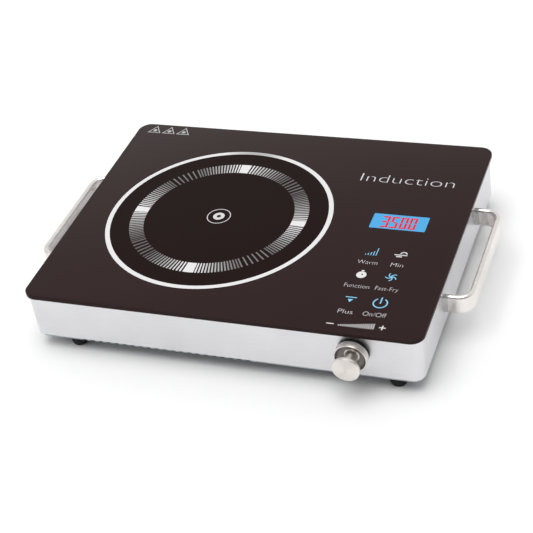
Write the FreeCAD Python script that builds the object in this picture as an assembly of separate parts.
import FreeCAD, Part
import os
from math import asin, cos, pi, radians, sin, tan

Vec = FreeCAD.Vector

# Countertop induction hob. Millimetres, +Z up, +Y to the back, +X to the right.
# Pieces are laid out about the middle of the glass with the table at Z = 0, and
# each one is then moved by the same step, so that the whole outline is centred.

# Glass plate
glass_width = 360.0
glass_depth = 280.0
glass_thick = 4.0
glass_corner = 12.0
glass_bevel = 0.6
total_height = 60.0          # table to cooking surface
overhang = 2.2               # glass past the casing walls

# Bead of silicone between the glass and the casing
seal_thick = 0.5
seal_width = 9.0
seal_inset = 0.6

# Casing and bottom cover, folded from sheet
sheet = 0.8
flange_width = 14.0
hem_height = 2.0
hem_thick = 1.6
cover_gap = 0.6              # hem to cover wall, all round
cover_drop = 4.5             # cover underside below the casing's rim
cover_lap = 9.5              # cover wall up inside the casing
cover_bend = 2.0
vent_count = 21
vent_pitch = 7.7
vent_width = 4.2
vent_height = 6.5
vent_from_left = 47.8        # casing's left wall to the first slot
vent_above_floor = 1.3
grille_start = 18.0          # intake slots under the fan: first ring
grille_slot = 3.5
grille_pitch = 6.5
grille_spoke = 4.0

# Feet
foot_height = 10.5
foot_radius = 7.7
foot_tread = 5.4
foot_from_left = 36.3
foot_from_right = 24.8
foot_from_front = 12.6
foot_recess = 3.7
foot_seat = 4.6              # table to the screw's seat inside the foot
foot_round = 6.5             # height over which the sides come out

# Handles: flat oval bar bent to a D, each leg on a short ferrule
handle_tall = 18.0
handle_thick = 5.6
handle_span = 124.0          # leg to leg
handle_reach = 23.0          # wall to the middle of the bar
handle_bend = 12.0
handle_from_front = 137.8    # front wall to the middle of the handle
handle_below = 9.3           # casing's top to the handle's top
ferrule_length = 4.2
ferrule_step = 0.35

# Knob, turned from solid, and the encoder behind it
knob_from_right = 57.1
knob_below_glass = 16.4
bezel_radius = 13.75
bezel_thick = 2.8
bezel_round = 0.5
skirt_radius = 14.1
skirt_back = 3.3             # casing wall to the back of the knob
skirt_front = 9.8
dish_floor = 4.6
neck_radius = 5.6
neck_straight = 4.4          # dish floor to where the neck starts to flare
cap_radius = 11.8
cap_back = 20.4
cap_front = 23.2
cap_crown = 0.4
index_angle = 142.0          # degrees, seen from the front, from +X
index_radius = 0.9
index_depth = 0.8
index_fit = 0.05
index_sunk = 0.02            # dot below the rim's own surface
knob_chamfer = 0.5
shaft_radius = 3.0
shaft_fit = 0.05
shaft_tip = 15.5
shaft_flat = 1.5             # axis to the flat
shaft_in_body = 4.0
bush_wall = 0.45
bush_reach = 4.6
insert_wall = 1.45
encoder_side = 13.0
encoder_deep = 6.5
nut_wall = 2.1
nut_thick = 2.0
nut_room = 2.0               # nut's corners to the bezel's bore

# Cooking zone
zone_from_left = 133.5
zone_from_front = 135.8
coil_outer = 92.0
coil_inner = 24.0
coil_turns = 17
coil_thick = 4.4
coil_below_glass = 2.2
mica_thick = 0.6
holder_thick = 6.0
holder_rim = 5.0
holder_lip = 2.0             # hub and rim above the coil's underside
hub_bore = 9.0
holder_arms = 8
arm_width = 15.0
ferrite_thick = 5.0
ferrite_width = 11.0
ferrite_start = 29.0
ferrite_end = 79.0
post_ring = 88.0
post_angles = (45.0, 135.0, 270.0)
post_radius = 4.0
spring_space = 7.0

# Cooling fan, flat on the bottom cover
fan_side = 92.0
fan_thick = 25.0
fan_bore = 43.0
fan_hub = 15.0
fan_blades = 7
fan_core = 10.5
fan_sleeve = 3.4
fan_from_right = 74.0
fan_from_back = 66.0
fan_pin = 1.5
fan_hole_inset = 4.75

# Power board, on pillars above the bottom cover
pillar_height = 6.0
board_thick = 1.6
power_width = 190.0
power_depth = 94.0
power_from_left = 21.0
power_from_front = 15.0
sink_width = 62.0
sink_depth = 44.0
sink_base = 4.0
sink_fin = 1.6
sink_fins = 11
chip_thick = 5.0
film_tall = 15.0
can_tall = 16.0
stud_tall = 6.0
terminal_rows = (88.0, 100.0)    # coil terminals, from the board's left edge

# Control board in its tray under the glass
tray_width = 72.0
tray_depth = 156.0
tray_wall = 2.0
tray_sheet = 1.5
stud_height = 1.4
stud_inset = 8.0
tray_floor_drop = 10.0       # glass underside to the tray's floor
display_width = 54.0
display_depth = 25.0
display_from_front = 138.0
display_off_knob = 1.0
tray_pin = 1.2
touch_wire = 0.3
touch_slack = 0.6
touch_columns = (-12.2, 13.8)    # from the knob's axis
touch_rows = (106.0, 73.5, 40.5)

# Cord inlet at the back
gland_from_left = 57.0
gland_height = 33.0
gland_bore = 4.3
gland_barrel = 6.2
gland_flange = 9.5
gland_out = 9.0
gland_in = 13.0
terminal_from_back = 34.0
terminal_depth = 16.0
terminal_pitch = 10.0
terminal_rise = 6.0

# Shared clearances and fasteners
gap = 0.3                    # between pieces that only lie side by side
fit = 0.1                    # round a screw or pin in its hole
m3 = 1.5
m4 = 2.0

# Places that follow from the sizes above
shell_width = glass_width - 2 * overhang
shell_depth = glass_depth - 2 * overhang
shell_corner = glass_corner - overhang
left_x = -shell_width / 2
right_x = shell_width / 2
front_y = -shell_depth / 2
back_y = shell_depth / 2
glass_z = total_height - glass_thick
shell_top = glass_z - seal_thick
rim_z = foot_height + cover_drop
floor_z = foot_height + sheet
cover_inset = hem_thick + cover_gap
cover_top = rim_z + cover_lap
zone_x = left_x + zone_from_left
zone_y = front_y + zone_from_front
coil_top = glass_z - coil_below_glass
coil_base = coil_top - coil_thick
holder_base = coil_base - holder_thick
ferrite_base = holder_base - ferrite_thick
knob_x = right_x - knob_from_right
knob_z = glass_z - knob_below_glass
handle_z = shell_top - handle_below - handle_tall / 2
handle_y = front_y + handle_from_front
fan_x = right_x - fan_from_right
fan_y = back_y - fan_from_back
power_x0 = left_x + power_from_left
power_y0 = front_y + power_from_front
power_base = floor_z + pillar_height
power_top = power_base + board_thick
sink_z = power_top + chip_thick
sink_top = ferrite_base - 1.5
tray_x0 = knob_x - tray_width / 2
tray_y0 = front_y + sheet + flange_width + gap
tray_floor = glass_z - tray_floor_drop
control_base = tray_floor + tray_sheet + stud_height
control_top = control_base + board_thick
display_y = front_y + display_from_front
gland_x = left_x + gland_from_left
terminal_y = back_y - terminal_from_back
knob_reach = cap_front + cap_crown
bush_radius = shaft_radius + shaft_fit + bush_wall
insert_radius = shaft_radius + shaft_fit + insert_wall
nut_radius = bush_radius + nut_wall
bezel_bore = nut_radius + nut_room
front_reach = -front_y + knob_reach
back_reach = back_y + gland_out
to_centre = Vec(0, (front_reach - back_reach) / 2, 0)

# Screws through the cover sit at the four corner posts
corner_inset = 10.3
corner_spots = [
    (x, y)
    for x in (left_x + corner_inset, right_x - corner_inset)
    for y in (front_y + corner_inset, back_y - corner_inset)
]
foot_spots = {
    "foot_front_left": (left_x + foot_from_left, front_y + foot_from_front),
    "foot_front_right": (right_x - foot_from_right, front_y + foot_from_front),
    "foot_back_left": (left_x + foot_from_left, back_y - foot_from_front),
    "foot_back_right": (right_x - foot_from_right, back_y - foot_from_front),
}
post_spots = [
    (zone_x + post_ring * cos(radians(a)), zone_y + post_ring * sin(radians(a)))
    for a in post_angles
]
fan_spots = [
    (fan_x + i * (fan_side / 2 - fan_hole_inset), fan_y + j * (fan_side / 2 - fan_hole_inset))
    for i in (-1, 1)
    for j in (-1, 1)
]
pillar_inset = 6.0
pillar_spots = [
    (x, y)
    for x in (power_x0 + pillar_inset, power_x0 + power_width - pillar_inset)
    for y in (power_y0 + pillar_inset, power_y0 + power_depth - pillar_inset)
]
control_spots = [
    (x, y)
    for x in (tray_x0 + stud_inset, tray_x0 + tray_width - stud_inset)
    for y in (tray_y0 + stud_inset, tray_y0 + tray_depth - stud_inset)
]
handle_legs = (handle_y - handle_span / 2, handle_y + handle_span / 2)


def save(name, *pieces):
    shape = pieces[0] if len(pieces) == 1 else Part.Compound(list(pieces))
    moved = shape.copy()
    moved.translate(to_centre)
    moved.exportStep("parts/" + name + ".step")


def block(x0, x1, y0, y1, z0, z1):
    return Part.makeBox(x1 - x0, y1 - y0, z1 - z0, Vec(x0, y0, z0))


def rod(radius, start, end):
    axis = end - start
    return Part.makeCylinder(radius, axis.Length, start, axis)


def column(radius, x, y, z0, z1):
    return rod(radius, Vec(x, y, z0), Vec(x, y, z1))


def rounded_wire(width, depth, corner, z, x=0.0, y=0.0):
    # Closed rectangle with round corners, in a level plane.
    a = width / 2 - corner
    b = depth / 2 - corner
    h = corner * sin(pi / 4)
    edges = []
    for sx, sy in ((1, 1), (-1, 1), (-1, -1), (1, -1)):
        ends = [Vec(sx * (a + corner), sy * b, 0), Vec(sx * a, sy * (b + corner), 0)]
        if sx * sy < 0:
            ends.reverse()
        edges.append(Part.Arc(ends[0], Vec(sx * (a + h), sy * (b + h), 0), ends[1]).toShape())
    corners = list(edges)
    for i in range(4):
        first = corners[i].Vertexes[1].Point
        second = corners[(i + 1) % 4].Vertexes[0].Point
        edges.insert(2 * i + 1, Part.LineSegment(first, second).toShape())
    wire = Part.Wire(edges)
    wire.translate(Vec(x, y, z))
    return wire


def slab(width, depth, corner, z0, z1, x=0.0, y=0.0):
    face = Part.Face(rounded_wire(width, depth, corner, z0, x, y))
    return face.extrude(Vec(0, 0, z1 - z0))


def inset_slab(inset, z0, z1):
    # Slab that follows the casing's outline, drawn in by the inset.
    corner = max(shell_corner - inset, 1.0)
    return slab(shell_width - 2 * inset, shell_depth - 2 * inset, corner, z0, z1)


def turned(points, x, y, z=0.0):
    # Solid of revolution about a vertical axis; points are (radius, height).
    outline = [Vec(r, 0, h) for r, h in points]
    wire = Part.makePolygon(outline + outline[:1])
    solid = Part.Face(wire).revolve(Vec(0, 0, 0), Vec(0, 0, 1), 360)
    solid.translate(Vec(x, y, z))
    return solid


def tube(radius, points):
    # Round lead along straight runs joined by tangent arcs.
    edges = []
    start = points[0]
    for before, corner, after in zip(points, points[1:], points[2:]):
        back = before - corner
        ahead = after - corner
        setback = 0.45 * min(back.Length, ahead.Length)
        back.normalize()
        ahead.normalize()
        half_turn = (pi - back.getAngle(ahead)) / 2
        bend = setback / tan(half_turn)
        inward = back + ahead
        inward.normalize()
        p = corner + back * setback
        q = corner + ahead * setback
        middle = corner + inward * (bend / cos(half_turn) - bend)
        edges.append(Part.LineSegment(start, p).toShape())
        edges.append(Part.Arc(p, middle, q).toShape())
        start = q
    edges.append(Part.LineSegment(start, points[-1]).toShape())
    profile = Part.Wire([Part.makeCircle(radius, points[0], points[1] - points[0])])
    return Part.Wire(edges).makePipeShell([profile], True, False)


def screw(seat, into, head_radius, head_height, shank_radius, length):
    # Pan head on the seat, shank going into the work, socket in the head.
    head = rod(head_radius, seat, seat - into * head_height)
    shank = rod(shank_radius, seat, seat + into * length)
    top = seat - into * head_height
    socket = rod(head_radius * 0.45, top, top + into * head_height * 0.6)
    return head.fuse(shank).cut(socket)


def spring(radius, wire, pitch, height, x, y, z):
    # Helical spring as short runs joined by arcs, the same number in each turn.
    turns = height / pitch
    count = round(turns * 6)
    points = []
    for i in range(count + 1):
        angle = 2 * pi * turns * i / count
        points.append(Vec(x + radius * cos(angle), y + radius * sin(angle), z + height * i / count))
    return tube(wire, points)


def glass_top():
    plate = slab(glass_width, glass_depth, glass_corner, glass_z, total_height)
    rims = [e for e in plate.Edges if e.BoundBox.ZLength < 0.01]
    save("glass_top", plate.makeChamfer(glass_bevel, rims))


def glass_seal():
    outer = inset_slab(seal_inset, shell_top, glass_z)
    inner = inset_slab(seal_inset + seal_width, shell_top, glass_z)
    save("glass_seal", outer.cut(inner))


def body_shell():
    shell = inset_slab(0, rim_z, shell_top)
    shell = shell.cut(inset_slab(hem_thick, rim_z, rim_z + hem_height))
    shell = shell.cut(inset_slab(sheet, rim_z + hem_height, shell_top - sheet))
    shell = shell.cut(inset_slab(sheet + flange_width, shell_top - sheet, shell_top))
    gland = Vec(gland_x, back_y, gland_height)
    holes = [
        rod(bush_radius + fit, knob_point(0, 0), knob_point(0, -sheet)),
        rod(gland_barrel + fit, gland, gland - Vec(0, sheet, 0)),
    ]
    for y in handle_legs:
        holes.append(rod(m3 + fit, Vec(left_x, y, handle_z), Vec(left_x + sheet, y, handle_z)))
        holes.append(rod(m3 + fit, Vec(right_x - sheet, y, handle_z), Vec(right_x, y, handle_z)))
    save("body_shell", shell.cut(holes))


def intake_grille():
    # Rings of slots under the fan, crossed by four spokes.
    slots = []
    radius = grille_start
    while radius + grille_slot < fan_bore:
        ring = column(radius + grille_slot, fan_x, fan_y, foot_height, floor_z)
        slots.append(ring.cut(column(radius, fan_x, fan_y, foot_height, floor_z)))
        radius += grille_pitch
    rings = slots[0].fuse(slots[1:])
    r = fan_bore
    half = grille_spoke / 2
    spokes = [
        block(fan_x - r, fan_x + r, fan_y - half, fan_y + half, foot_height, floor_z),
        block(fan_x - half, fan_x + half, fan_y - r, fan_y + r, foot_height, floor_z),
    ]
    return rings.cut(spokes)


def round_base(shape, radius):
    low = shape.BoundBox.ZMin
    return shape.makeFillet(radius, [e for e in shape.Edges if e.BoundBox.ZMax < low + 0.01])


def bottom_cover():
    outer = round_base(inset_slab(cover_inset, foot_height, cover_top), cover_bend)
    inner = inset_slab(cover_inset + sheet, floor_z, cover_top)
    cover = outer.cut(round_base(inner, cover_bend - sheet))
    wall_y = front_y + cover_inset
    y0 = wall_y - sheet
    y1 = wall_y + cover_bend + sheet
    z = foot_height + vent_above_floor
    half = vent_width / 2
    cuts = []
    for i in range(vent_count):
        x = left_x + vent_from_left + i * vent_pitch
        cuts.append(block(x - half, x + half, y0, y1, z, z + vent_height))
    for x, y in corner_spots + list(foot_spots.values()) + fan_spots:
        cuts.append(column(m4 + fit, x, y, foot_height, floor_z))
    for x, y in post_spots + pillar_spots:
        cuts.append(column(m3 + fit, x, y, foot_height, floor_z))
    cuts.append(intake_grille())
    save("bottom_cover", cover.cut(cuts))


def feet():
    profile = [(m4 + fit, foot_seat), (foot_recess, foot_seat), (foot_recess, 0), (foot_tread, 0)]
    steps = 6
    for i in range(1, steps + 1):
        turn = pi / 2 * i / steps
        r = foot_tread + (foot_radius - foot_tread) * sin(turn)
        profile.append((r, foot_round * (1 - cos(turn))))
    profile += [(foot_radius, foot_height), (m4 + fit, foot_height)]
    for name, (x, y) in foot_spots.items():
        save(name, turned(profile, x, y))


def foot_screws():
    past_cover = 5.0
    length = foot_height + past_cover - foot_seat
    up = Vec(0, 0, 1)
    spots = foot_spots.values()
    save("foot_screws", *[screw(Vec(x, y, foot_seat), up, 3.5, 2.4, m4, length) for x, y in spots])


def corner_posts():
    tap = 12.0
    posts = []
    screws = []
    for x, y in corner_spots:
        post = column(4.0, x, y, floor_z, shell_top - sheet)
        posts.append(post.cut(column(m4 + fit, x, y, floor_z, floor_z + tap)))
    for x, y in corner_spots + fan_spots:
        screws.append(screw(Vec(x, y, foot_height), Vec(0, 0, 1), 3.5, 2.0, m4, tap - 3))
    save("corner_posts", *posts)
    save("cover_screws", *screws)


def flat_oval(x, y, along_x, grow=0.0):
    # Section of the handle bar, square to X or to Y, tall in Z.
    r = handle_thick / 2 + grow
    c = handle_tall / 2 - handle_thick / 2
    side = Vec(0, 1, 0) if along_x else Vec(1, 0, 0)
    up = Vec(0, 0, 1)
    o = Vec(x, y, handle_z)
    right_low = o + side * r - up * c
    right_high = o + side * r + up * c
    left_high = o - side * r + up * c
    left_low = o - side * r - up * c
    edges = [
        Part.LineSegment(right_low, right_high).toShape(),
        Part.Arc(right_high, o + up * (c + r), left_high).toShape(),
        Part.LineSegment(left_high, left_low).toShape(),
        Part.Arc(left_low, o - up * (c + r), right_low).toShape(),
    ]
    return Part.Face(Part.Wire(edges))


def handle_bar():
    # Right-hand handle; the left one is its mirror image.
    bar_x = right_x + handle_reach
    start_x = right_x + ferrule_length
    bend_x = bar_x - handle_bend
    low_y, high_y = handle_legs
    pieces = []
    for y, inward in ((low_y, 1), (high_y, -1)):
        pieces.append(flat_oval(start_x, y, True).extrude(Vec(bend_x - start_x, 0, 0)))
        centre = Vec(bend_x, y + inward * handle_bend, 0)
        pieces.append(flat_oval(bend_x, y, True).revolve(centre, Vec(0, 0, 1), 90 * inward))
    bar = flat_oval(bar_x, low_y + handle_bend, False)
    pieces.append(bar.extrude(Vec(0, handle_span - 2 * handle_bend, 0)))
    solid = pieces[0].fuse(pieces[1:]).removeSplitter()
    for y in handle_legs:
        solid = solid.cut(rod(m3 + fit, Vec(start_x, y, handle_z), Vec(start_x + 9, y, handle_z)))
    return solid


def handle_ferrule(y):
    # Short sleeve of the bar's section, stepped where the leg sits on it.
    seat = ferrule_length - ferrule_step * 2
    main = flat_oval(right_x, y, True).extrude(Vec(seat, 0, 0))
    step = flat_oval(right_x + seat, y, True, -ferrule_step).extrude(Vec(ferrule_step * 2, 0, 0))
    hole = rod(m3 + fit, Vec(right_x, y, handle_z), Vec(right_x + ferrule_length, y, handle_z))
    return main.fuse(step).cut(hole)


def mirrored(shape):
    return shape.mirror(Vec(0, 0, 0), Vec(1, 0, 0))


def handles():
    bar = handle_bar()
    save("handle_right", bar)
    save("handle_left", mirrored(bar))
    screws = []
    for y, place in zip(handle_legs, ("front", "back")):
        ferrule = handle_ferrule(y)
        save("ferrule_right_" + place, ferrule)
        save("ferrule_left_" + place, mirrored(ferrule))
        inside = Vec(right_x - sheet, y, handle_z)
        one = screw(inside, Vec(1, 0, 0), 2.9, 2.0, m3, sheet + ferrule_length + 8)
        screws += [one, mirrored(one)]
    save("handle_screws", *screws)


def knob_turned(edges):
    # Solid of revolution about the knob's axis, from edges in a level half plane.
    face = Part.Face(Part.Wire(edges))
    return face.revolve(Vec(knob_x, 0, knob_z), Vec(0, 1, 0), 360)


def knob_point(radius, out):
    return Vec(knob_x + radius, front_y - out, knob_z)


def knob_line(a, b):
    return Part.LineSegment(knob_point(*a), knob_point(*b)).toShape()


def knob_arc(a, b, c):
    return Part.Arc(knob_point(*a), knob_point(*b), knob_point(*c)).toShape()


def index_rod(radius, depth):
    # Pin set into the skirt's rim, half-way along it, pointing at the axis.
    out = (skirt_back + skirt_front) / 2
    way = Vec(cos(radians(index_angle)), 0, sin(radians(index_angle)))
    middle = knob_point(0, out)
    return rod(radius, middle + way * (skirt_radius - depth), middle + way * (skirt_radius + fit))


def knob():
    chamfer = knob_chamfer
    lip_width = 0.5
    lip = skirt_radius - 0.4 - lip_width
    throat = dish_floor + neck_straight
    flare_end = cap_radius - 0.6
    flare_wide = flare_end - neck_radius
    flare = ((cap_back - throat) ** 2 + flare_wide ** 2) / (2 * flare_wide)
    half_turn = asin((cap_back - throat) / flare) / 2
    flare_middle = (neck_radius + flare * (1 - cos(half_turn)), throat + flare * sin(half_turn))
    bore_end = shaft_tip + 1.0
    face_edge = cap_radius - chamfer
    tip = cap_front + cap_crown
    crown = (face_edge ** 2 + cap_crown ** 2) / (2 * cap_crown)
    half_way = tip - crown + (crown ** 2 - face_edge ** 2 / 4) ** 0.5
    edges = [
        knob_line((0, bore_end), (insert_radius, bore_end)),
        knob_line((insert_radius, bore_end), (insert_radius, skirt_back)),
        knob_line((insert_radius, skirt_back), (skirt_radius - chamfer, skirt_back)),
        knob_line((skirt_radius - chamfer, skirt_back), (skirt_radius, skirt_back + chamfer)),
        knob_line((skirt_radius, skirt_back + chamfer), (skirt_radius, skirt_front - chamfer)),
        knob_line((skirt_radius, skirt_front - chamfer), (skirt_radius - 0.4, skirt_front)),
        knob_line((skirt_radius - 0.4, skirt_front), (lip, skirt_front)),
        knob_arc((lip, skirt_front), (lip - 1.6, dish_floor + 1.5), (neck_radius + 2.0, dish_floor)),
        knob_line((neck_radius + 2.0, dish_floor), (neck_radius, dish_floor + 0.6)),
        knob_line((neck_radius, dish_floor + 0.6), (neck_radius, throat)),
        knob_arc((neck_radius, throat), flare_middle, (flare_end, cap_back)),
        knob_line((flare_end, cap_back), (cap_radius, cap_back + 0.5)),
        knob_line((cap_radius, cap_back + 0.5), (cap_radius, cap_front - chamfer)),
        knob_line((cap_radius, cap_front - chamfer), (face_edge, cap_front)),
        knob_arc((face_edge, cap_front), (face_edge / 2, half_way), (0, tip)),
        knob_line((0, tip), (0, bore_end)),
    ]
    save("knob", knob_turned(edges).cut(index_rod(index_radius + index_fit, index_depth)))
    rim = rod(skirt_radius - index_sunk, knob_point(0, skirt_back), knob_point(0, skirt_front))
    save("knob_index", index_rod(index_radius, index_depth).common(rim))


def d_section(radius, flat, near, far):
    # Round bar with one flat, along the knob's axis.
    bar = rod(radius, knob_point(0, near), knob_point(0, far))
    low = knob_z - radius
    high = knob_z + radius
    return bar.common(block(knob_x - radius, knob_x + flat, front_y - far, front_y - near, low, high))


def knob_insert():
    near = bush_reach + 0.6
    far = shaft_tip + 1.0
    hub = rod(insert_radius - shaft_fit, knob_point(0, near), knob_point(0, far))
    socket = d_section(shaft_radius + shaft_fit, shaft_flat + shaft_fit, near, shaft_tip + 0.3)
    save("knob_insert", hub.cut(socket))


def knob_bezel():
    ring = rod(bezel_radius, knob_point(0, 0), knob_point(0, bezel_thick))
    outer_y = front_y - bezel_thick
    ring = ring.makeFillet(bezel_round, [e for e in ring.Edges if e.BoundBox.YMax < outer_y + 0.01])
    save("knob_bezel", ring.cut(rod(bezel_bore, knob_point(0, 0), knob_point(0, bezel_thick))))


def hexagon(radius, middle, thick):
    # Six-sided nut about an axis along Y, from its middle towards the front.
    turns = [pi / 3 * i for i in range(7)]
    outline = [middle + Vec(radius * cos(a), 0, radius * sin(a)) for a in turns]
    return Part.Face(Part.makePolygon(outline)).extrude(Vec(0, -thick, 0))


def encoder():
    # Square case behind the wall, threaded bush through it, D shaft in the bush.
    half = encoder_side / 2
    y0 = front_y + sheet
    y1 = y0 + encoder_deep
    case = block(knob_x - half, knob_x + half, y0, y1, knob_z - half, knob_z + half)
    bush = rod(bush_radius, knob_point(0, -sheet), knob_point(0, bush_reach))
    pocket = -sheet - shaft_in_body
    bore = rod(shaft_radius + shaft_fit, knob_point(0, pocket), knob_point(0, bush_reach))
    save("encoder_body", case.fuse(bush).cut(bore))
    end_play = 0.2
    flat_start = bush_reach + 0.6
    plain = rod(shaft_radius, knob_point(0, pocket + end_play), knob_point(0, flat_start))
    flat = d_section(shaft_radius, shaft_flat, flat_start, shaft_tip)
    save("encoder_shaft", plain.fuse(flat))
    nut = hexagon(nut_radius, knob_point(0, 0), nut_thick)
    save("encoder_nut", nut.cut(rod(bush_radius + fit, knob_point(0, 0), knob_point(0, nut_thick))))
    half_card = half + 4.5
    card = block(
        knob_x - half_card, knob_x + half_card, y1, y1 + board_thick, knob_z - 2 * half, knob_z + half
    )
    save("encoder_board", card)


def coil_winding():
    # Flat coil of stranded wire: one ridge for each turn.
    pitch = (coil_outer - coil_inner) / coil_turns
    crest = pitch / 2
    profile = [Part.LineSegment(Vec(coil_outer, 0, 0), Vec(coil_inner, 0, 0)).toShape()]
    shoulder = coil_thick - crest * 0.6
    profile.append(Part.LineSegment(Vec(coil_inner, 0, 0), Vec(coil_inner, 0, shoulder)).toShape())
    for i in range(coil_turns):
        r = coil_inner + i * pitch
        top = Vec(r + crest, 0, coil_thick)
        profile.append(Part.Arc(Vec(r, 0, shoulder), top, Vec(r + pitch, 0, shoulder)).toShape())
    profile.append(Part.LineSegment(Vec(coil_outer, 0, shoulder), Vec(coil_outer, 0, 0)).toShape())
    winding = Part.Face(Part.Wire(profile)).revolve(Vec(0, 0, 0), Vec(0, 0, 1), 360)
    winding.translate(Vec(zone_x, zone_y, coil_base))
    save("coil_winding", winding)


def radial_bar(angle, start, end, width, z0, z1):
    bar = block(start, end, -width / 2, width / 2, z0, z1)
    bar.rotate(Vec(0, 0, 0), Vec(0, 0, 1), angle)
    bar.translate(Vec(zone_x, zone_y, 0))
    return bar


def coil_holder():
    lip_top = coil_base + holder_lip
    hub = column(coil_inner - gap, zone_x, zone_y, holder_base, lip_top)
    rim = column(coil_outer + holder_rim, zone_x, zone_y, holder_base, lip_top)
    rim = rim.cut(column(coil_outer + gap, zone_x, zone_y, holder_base, lip_top))
    arm_start = coil_inner - 4
    arm_end = coil_outer + 2
    arms = []
    ferrites = []
    for i in range(holder_arms):
        angle = 360.0 / holder_arms * i
        arms.append(radial_bar(angle, arm_start, arm_end, arm_width, holder_base, coil_base))
        bar = radial_bar(angle, ferrite_start, ferrite_end, ferrite_width, ferrite_base, holder_base)
        ferrites.append(bar)
    holder = hub.fuse([rim] + arms)
    cuts = [column(hub_bore, zone_x, zone_y, holder_base, coil_base + holder_lip)]
    cuts += [column(m3 + fit, x, y, holder_base, coil_base) for x, y in post_spots]
    save("coil_holder", holder.cut(cuts))
    save("ferrite_bars", *ferrites)


def mica_sheet():
    top = coil_top + mica_thick
    sheet_disc = column(coil_outer + 3, zone_x, zone_y, coil_top, top)
    save("mica_sheet", sheet_disc.cut(column(hub_bore + 1, zone_x, zone_y, coil_top, top)))


def coil_supports():
    # Three posts from the cover; springs press the coil up to the glass.
    post_top = holder_base - spring_space
    pin_length = coil_base - foot_height - 0.6
    slack = 0.65
    posts = []
    springs = []
    pins = []
    for x, y in post_spots:
        post = column(post_radius, x, y, floor_z, post_top)
        posts.append(post.cut(column(m3 + fit, x, y, floor_z, post_top)))
        springs.append(spring(2.9, 0.5, 1.7, spring_space - 2 * slack, x, y, post_top + slack))
        pins.append(screw(Vec(x, y, foot_height), Vec(0, 0, 1), 2.9, 1.8, m3, pin_length))
    save("coil_posts", *posts)
    save("coil_springs", *springs)
    save("coil_screws", *pins)


def thermistor():
    # Silicone plug in the holder's hub that presses a bead up to the glass.
    tall = glass_z - holder_base
    base_radius = hub_bore - gap - 0.1
    neck = base_radius - 2.1
    well = 8.0
    bead = 2.0
    outline = [(0, 0), (base_radius, 0), (base_radius, 6), (neck, 8), (neck, tall), (0, tall)]
    holder = turned(outline, zone_x, zone_y, holder_base)
    save("thermistor_holder", holder.cut(column(bead + gap, zone_x, zone_y, glass_z - well, glass_z)))
    outline = [(0, 0), (bead, 0), (bead, well - 0.6), (bead - 0.6, well), (0, well)]
    save("thermistor", turned(outline, zone_x, zone_y, glass_z - well))


def spread(shape, count, start=0.0):
    # Copies of a shape round the fan's axis; the shape is drawn about the origin.
    copies = []
    for i in range(count):
        copy = shape.copy()
        copy.rotate(Vec(0, 0, 0), Vec(0, 0, 1), start + 360.0 / count * i)
        copy.translate(Vec(fan_x, fan_y, 0))
        copies.append(copy)
    return copies


def fan():
    # Square frame with a bearing sleeve on four struts, and the motor's core round it.
    base = floor_z
    top = base + fan_thick
    plate_low = base + 1
    plate_top = plate_low + 2
    sleeve_top = base + 17
    frame = slab(fan_side, fan_side, 4.0, base, top, fan_x, fan_y)
    frame = frame.cut(column(fan_bore, fan_x, fan_y, base, top))
    plate = column(fan_hub, fan_x, fan_y, plate_low, plate_top)
    strut = block(fan_hub - 2, fan_bore + 1, -2, 2, plate_low, plate_top)
    sleeve = column(fan_sleeve, fan_x, fan_y, plate_top, sleeve_top)
    frame = frame.fuse([plate, sleeve] + spread(strut, 4, 45))
    holes = [column(m4 + fit, x, y, base, base + 10) for x, y in fan_spots]
    holes.append(column(fan_pin + shaft_fit, fan_x, fan_y, base + 2, sleeve_top))
    save("fan_frame", frame.cut(holes))
    core_low = base + 5
    core_top = core_low + 9
    core = column(fan_core, fan_x, fan_y, core_low, core_top)
    core = core.cut(column(fan_sleeve + 0.2, fan_x, fan_y, core_low, core_top))
    notch = block(fan_core * 0.57, fan_core + 1, -1.2, 1.2, core_low, core_top)
    save("fan_stator", core.cut(spread(notch, 4)))
    save("fan_rotor", fan_rotor(base, top))


def fan_rotor(base, top):
    # Cup over the motor's core, on a pin that runs in the sleeve.
    low = base + 4.2
    high = top - 1.0
    roof = 3.0
    cup = column(fan_hub, fan_x, fan_y, low, high)
    cup = cup.cut(column(fan_core + 1.5, fan_x, fan_y, low, high - roof))
    pin = column(fan_pin, fan_x, fan_y, base + 3, high - roof)
    tip = fan_bore - 2.0
    blade = block(fan_hub - 2, tip, -1.0, 1.0, low + 1, high - 1)
    blade.rotate(Vec(0, 0, (low + high) / 2), Vec(1, 0, 0), 38)
    blade = blade.common(block(0, fan_bore, -fan_bore, fan_bore, low + 1, high - 1))
    blade = blade.cut(column(fan_hub - 1, 0, 0, low, high))
    return cup.fuse([pin] + spread(blade, fan_blades))


def power_board():
    x1 = power_x0 + power_width
    y1 = power_y0 + power_depth
    board = block(power_x0, x1, power_y0, y1, power_base, power_top)
    cuts = [column(m3 + fit, x, y, power_base, power_top) for x, y in pillar_spots]
    cuts += [column(post_radius + 1.5, x, y, power_base, power_top) for x, y in post_spots]
    save("power_board", board.cut(cuts))
    down = Vec(0, 0, -1)
    length = power_top - foot_height
    pillars = []
    screws = []
    for x, y in pillar_spots:
        pillar = column(3.2, x, y, floor_z, power_base)
        pillars.append(pillar.cut(column(m3 + fit, x, y, floor_z, power_base)))
        screws.append(screw(Vec(x, y, power_top), down, 2.9, 2.0, m3, length))
    save("board_pillars", *pillars)
    save("board_screws", *screws, *control_pins())


def on_board(x, y):
    # A spot on the power board, from its left front corner.
    return power_x0 + x, power_y0 + y


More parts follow.
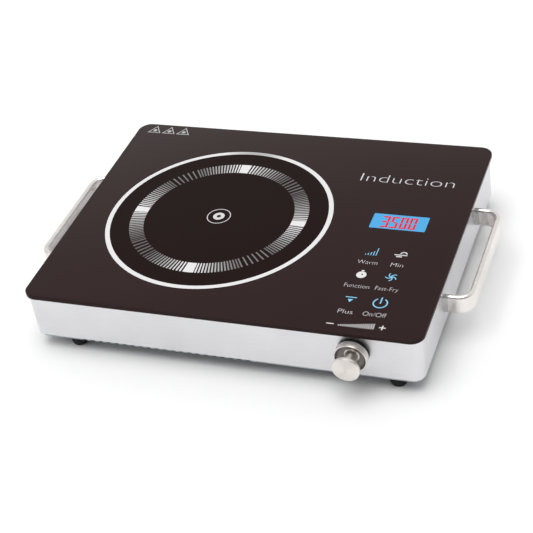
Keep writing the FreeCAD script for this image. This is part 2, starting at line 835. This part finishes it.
def heatsink():
    x0, y0 = on_board(32, 34)
    x1 = x0 + sink_width
    y1 = y0 + sink_depth
    fin_z = sink_z + sink_base
    sink = block(x0, x1, y0, y1, sink_z, fin_z)
    step = (sink_width - sink_fin) / (sink_fins - 1)
    lefts = [x0 + i * step for i in range(sink_fins)]
    fins = [block(x, x + sink_fin, y0, y1, fin_z, sink_top) for x in lefts]
    save("heatsink", sink.fuse(fins))
    half = 7.8
    chips = [
        block(x - half, x + half, y0 + 8, y0 + 28, power_top, sink_z)
        for x in (x0 + 10, x0 + 29)
    ]
    save("power_transistors", *chips)
    save("bridge_rectifier", block(x1 - 13, x1 - 3, y0 + 7, y0 + 37, power_top, sink_z))


def film_box(width, depth, x, y):
    return slab(width, depth, 1.0, power_top, power_top + film_tall, x, y)


def smoothing_can(x, y):
    # Aluminium can with the groove that holds its rubber seal.
    radius = 8.0
    groove_low = power_top + 2
    groove_top = groove_low + 0.8
    can = column(radius, x, y, power_top, power_top + can_tall)
    waist = column(radius - 0.6, x, y, groove_low, groove_top)
    return can.cut(column(radius + 0.2, x, y, groove_low, groove_top).cut(waist))


def board_parts():
    x, y = on_board(141, 62)
    line_x, line_y = on_board(176.5, 34)
    boxes = [film_box(42, 20, x, y), film_box(42, 15, x, y - 22), film_box(26, 10, line_x, line_y)]
    save("film_capacitors", *boxes)
    x, y = on_board(176.5, 58)
    choke = column(13, x, y, power_top, power_top + 12)
    save("filter_choke", choke.cut(column(6, x, y, power_top, power_top + 12)))
    save("bulk_capacitors", *[smoothing_can(*on_board(x, 16)) for x in (18, 37)])
    x, y = on_board(62, 16)
    core_top = power_top + 14
    core = slab(18, 16, 0.5, power_top, core_top, x, y)
    save("aux_transformer", core.cut(block(x - 9, x + 9, y - 6, y + 6, core_top - 4, core_top)))
    x, y = on_board(150, 14)
    z = power_top + 2.8
    save("mains_fuse", rod(2.6, Vec(x - 10, y, z), Vec(x + 10, y, z)))
    studs = [column(2.6, *on_board(x, 14), power_top, power_top + stud_tall) for x in terminal_rows]
    save("coil_terminals", *studs)
    x, y = on_board(172, 14)
    top = power_top + 9
    plugs = [block(x - 6, x + 6, low, low + 8, power_top, top) for low in (y - 4, y + 4 + 2)]
    save("board_plugs", *plugs)


def control_pins():
    down = Vec(0, 0, -1)
    return [screw(Vec(x, y, control_top), down, 2.6, 1.6, tray_pin, 3.0) for x, y in control_spots]


def control_panel():
    # Tray under the glass that carries the control board, display and touch springs.
    x0 = tray_x0
    x1 = tray_x0 + tray_width
    y0 = tray_y0
    y1 = tray_y0 + tray_depth
    wall = tray_wall
    tray = block(x0, x1, y0, y1, tray_floor, glass_z)
    hollow_z = tray_floor + tray_sheet
    tray = tray.cut(block(x0 + wall, x1 - wall, y0 + wall, y1 - wall, hollow_z, glass_z))
    tray = tray.fuse([column(3.0, x, y, hollow_z, control_base) for x, y in control_spots])
    pin_hole = tray_pin + fit
    wells = [column(pin_hole, x, y, tray_floor + 1, control_base) for x, y in control_spots]
    save("control_tray", tray.cut(wells))
    edge = wall + gap
    board = block(x0 + edge, x1 - edge, y0 + edge, y1 - edge, control_base, control_top)
    wells = [column(pin_hole, x, y, control_base, control_top) for x, y in control_spots]
    save("control_board", board.cut(wells))
    a = display_width / 2
    b = display_depth / 2
    x = knob_x + display_off_knob
    top = glass_z - gap
    save("display_module", block(x - a, x + a, display_y - b, display_y + b, control_top, top))
    height = glass_z - control_top - 2 * touch_slack
    springs = [
        spring(3.4, touch_wire, 1.5, height, knob_x + x, front_y + y, control_top + touch_slack)
        for x in touch_columns
        for y in touch_rows
    ]
    save("touch_springs", *springs)


def cord_inlet():
    seat = Vec(gland_x, back_y, gland_height)
    outer = seat + Vec(0, gland_out, 0)
    tail = seat - Vec(0, gland_in, 0)
    body = rod(gland_flange, seat, seat + Vec(0, 3, 0))
    body = body.fuse([rod(gland_flange - 2, seat, outer), rod(gland_barrel, tail, seat)])
    save("cord_gland", body.cut(rod(gland_bore, tail, outer)))
    face = seat - Vec(0, sheet, 0)
    thick = 4.0
    nut = hexagon(gland_barrel + 2.8, face, thick)
    save("gland_nut", nut.cut(rod(gland_barrel + fit, face, face - Vec(0, thick, 0))))
    half = terminal_depth / 2
    front = terminal_y - half
    block_shape = block(gland_x - 16, gland_x + 16, front, front + terminal_depth, floor_z, floor_z + 14)
    z = floor_z + terminal_rise
    through = Vec(0, terminal_depth, 0)
    ways = [Vec(gland_x + i * terminal_pitch, front, z) for i in (-1, 0, 1)]
    wells = [rod(2.0, way, way + through) for way in ways]
    save("terminal_block", block_shape.cut(wells))


def coil_lead(x, rise, steps):
    # Lead from a terminal stud towards the coil, as steps from the stud's top.
    sx, sy = on_board(x, 14)
    start = Vec(sx, sy, power_top + stud_tall)
    return tube(1.6, [start, start + Vec(0, 0, rise)] + [start + Vec(*step) for step in steps])


def mains_lead(i):
    # Lead from the terminal block forward to the power board.
    x = gland_x + (i - 1) * terminal_pitch
    y = terminal_y - terminal_depth / 2
    z = floor_z + terminal_rise
    lane = power_x0 + 4 + 7 * i
    points = [Vec(x, y, z), Vec(x, y - 14, z), Vec(lane, y - 34, z), Vec(lane, y - 62, z)]
    return tube(1.2, points + [Vec(lane + 2, power_y0 + power_depth + 6, z + 2)])


def fan_lead():
    x = fan_x - fan_side / 2
    z = floor_z + 4
    points = [Vec(x, fan_y - 30, z), Vec(x - 12, fan_y - 30, z), Vec(x - 17, fan_y - 52, z)]
    return tube(1.2, points + [Vec(x - 17, power_y0 + power_depth + 8, z + 1)])


def leads():
    first = coil_lead(terminal_rows[0], 7, [(12, 5, 12), (20, 9, 14)])
    second = coil_lead(terminal_rows[1], 5, [(12, 1, 8), (22, 6, 11)])
    save("coil_leads", first, second)
    save("supply_leads", mains_lead(0), mains_lead(1), fan_lead())


def main():
    os.makedirs("parts", exist_ok=True)
    glass_top()
    glass_seal()
    body_shell()
    bottom_cover()
    feet()
    foot_screws()
    corner_posts()
    handles()
    knob()
    knob_insert()
    knob_bezel()
    encoder()
    coil_winding()
    coil_holder()
    mica_sheet()
    coil_supports()
    thermistor()
    fan()
    power_board()
    heatsink()
    board_parts()
    control_panel()
    cord_inlet()
    leads()


main()
